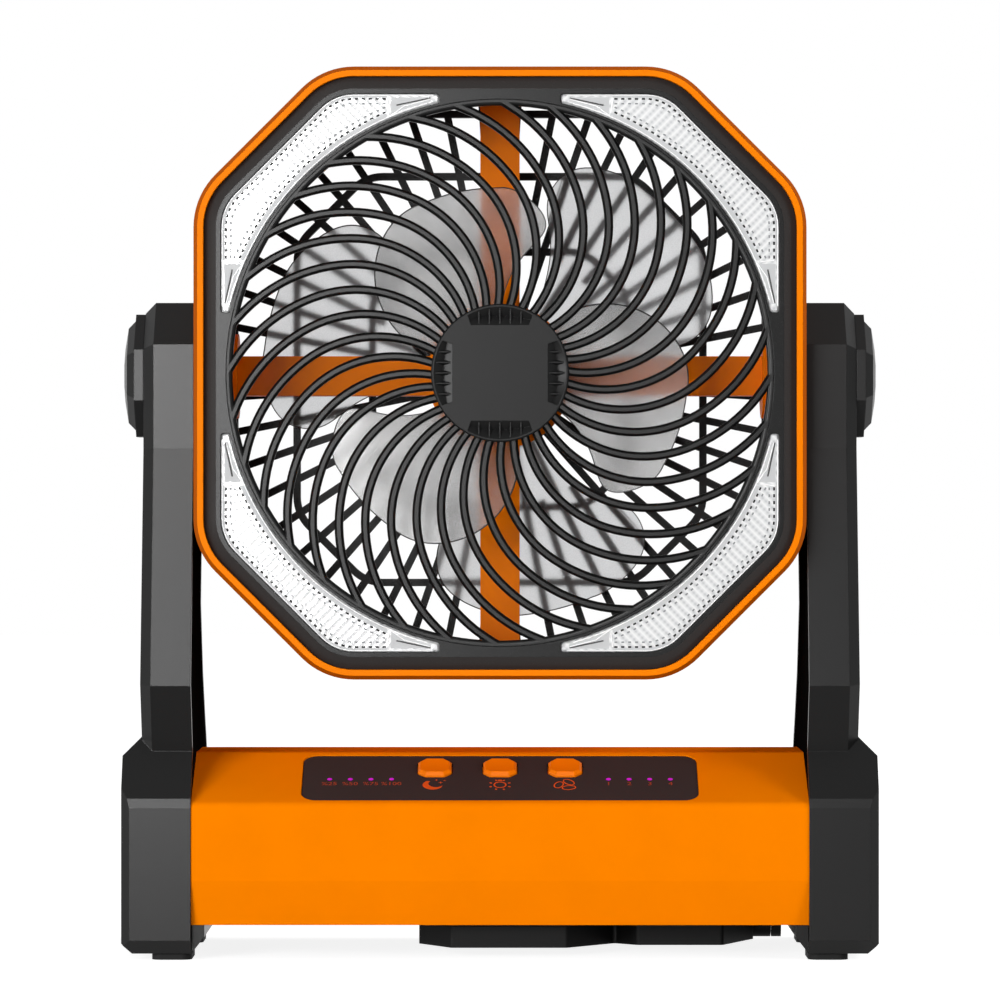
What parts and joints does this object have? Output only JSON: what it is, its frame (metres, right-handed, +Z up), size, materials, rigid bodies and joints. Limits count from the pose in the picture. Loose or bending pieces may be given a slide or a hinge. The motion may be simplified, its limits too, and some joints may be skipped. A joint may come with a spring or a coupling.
{
  "type": "portable camping fan",
  "caption": "Portable fan with corner lamps: a square clipped-corner head tilts between two stands over a battery base with a sloped control panel and a folding hook.",
  "frame": {"origin": "on the floor plane under the centre of the fan's bounding box", "axes": "+X to the fan's left-hand stand as it faces the user, which is the right side of its front view; the air leaves towards -Y, the front; +Z up"},
  "size_m": [0.248, 0.106, 0.2895],
  "materials": {
    "orange_plastic": "satin moulded ABS",
    "black_plastic": "fine matt moulded ABS",
    "panel_plastic": "smooth dark panel",
    "cap_plastic": "dark grey satin",
    "smoky_plastic": "translucent smoky polypropylene",
    "frosted_plastic": "translucent frosted polypropylene",
    "clear_plastic": "clear prismatic polycarbonate",
    "white_plastic": "white reflector",
    "lamp_plastic": "tinted light guides",
    "rubber": "soft matt pads",
    "steel": "plain and plated steel",
    "laminated_steel": "lacquered stator stack",
    "circuit_board": "solder-masked laminate",
    "cell_wrap": "shrink-wrapped cells"
  },
  "bodies": {
    "base": {"base_housing": "orange_plastic", "base_tray": "black_plastic", "left_stand": "black_plastic", "right_stand": "black_plastic", "left_stand_cover": "black_plastic", "right_stand_cover": "black_plastic", "left_pivot_cap": "black_plastic", "right_pivot_cap": "black_plastic", "battery_cradle": "black_plastic", "tilt_bushes": "black_plastic", "key_switches": "black_plastic", "control_panel": "panel_plastic", "lamp_guides": "lamp_plastic", "panel_lamps": "lamp_plastic", "foot_pads": "rubber", "tilt_washers": "rubber", "tray_screws": "steel", "hook_pin": "steel", "charge_socket": "steel", "output_socket": "steel", "panel_board": "circuit_board", "main_board": "circuit_board", "battery_cells": "cell_wrap"},
    "head": {"front_housing": "orange_plastic", "rear_housing": "orange_plastic", "front_bezel": "black_plastic", "front_guard": "black_plastic", "hub_cap": "cap_plastic", "rear_grille": "black_plastic", "grille_screws": "steel", "upper_left_lens": "clear_plastic", "upper_right_lens": "clear_plastic", "lower_left_lens": "clear_plastic", "lower_right_lens": "clear_plastic", "upper_left_reflector": "white_plastic", "upper_right_reflector": "white_plastic", "lower_left_reflector": "white_plastic", "lower_right_reflector": "white_plastic", "led_strips": "white_plastic", "tilt_pins": "steel", "tilt_nuts": "steel", "front_motor_base": "black_plastic", "rear_motor_base": "black_plastic", "front_bearings": "steel", "rear_bearings": "steel", "front_stator": "laminated_steel", "rear_stator": "laminated_steel", "motor_screws": "steel"},
    "front_rotor": {"front_rotor_can": "steel", "front_blades": "smoky_plastic"},
    "rear_rotor": {"rear_rotor_can": "steel", "rear_blades": "frosted_plastic"},
    "left_key": {"left_button": "orange_plastic"},
    "middle_key": {"middle_button": "orange_plastic"},
    "right_key": {"right_button": "orange_plastic"},
    "hanging_hook": {"hook": "black_plastic"}
  },
  "joints": [
    {"name": "head_tilt", "type": "hinge", "parent": "base", "child": "head", "pos_m": [0, -0.005, 0.1905], "axis": [1, 0, 0], "range_deg": [-180, 90]},
    {"name": "front_rotor_spin", "type": "hinge", "parent": "head", "child": "front_rotor", "pos_m": [0, -0.005, 0.1905], "axis": [0, -1, 0], "continuous": true},
    {"name": "rear_rotor_spin", "type": "hinge", "parent": "head", "child": "rear_rotor", "pos_m": [0, -0.005, 0.1905], "axis": [0, -1, 0], "continuous": true},
    {"name": "left_button_press", "type": "slide", "parent": "base", "child": "left_key", "axis": [0, 0.4226, -0.9063], "range_m": [0, 0.0005], "stiffness_N_per_m": 300, "springref_m": -0.0005},
    {"name": "middle_button_press", "type": "slide", "parent": "base", "child": "middle_key", "axis": [0, 0.4226, -0.9063], "range_m": [0, 0.0005], "stiffness_N_per_m": 300, "springref_m": -0.0005},
    {"name": "right_button_press", "type": "slide", "parent": "base", "child": "right_key", "axis": [0, 0.4226, -0.9063], "range_m": [0, 0.0005], "stiffness_N_per_m": 300, "springref_m": -0.0005},
    {"name": "hook_swing", "type": "hinge", "parent": "base", "child": "hanging_hook", "pos_m": [0.08, 0.016, 0.0066], "axis": [1, 0, 0], "range_deg": [0, 100]}
  ]
}
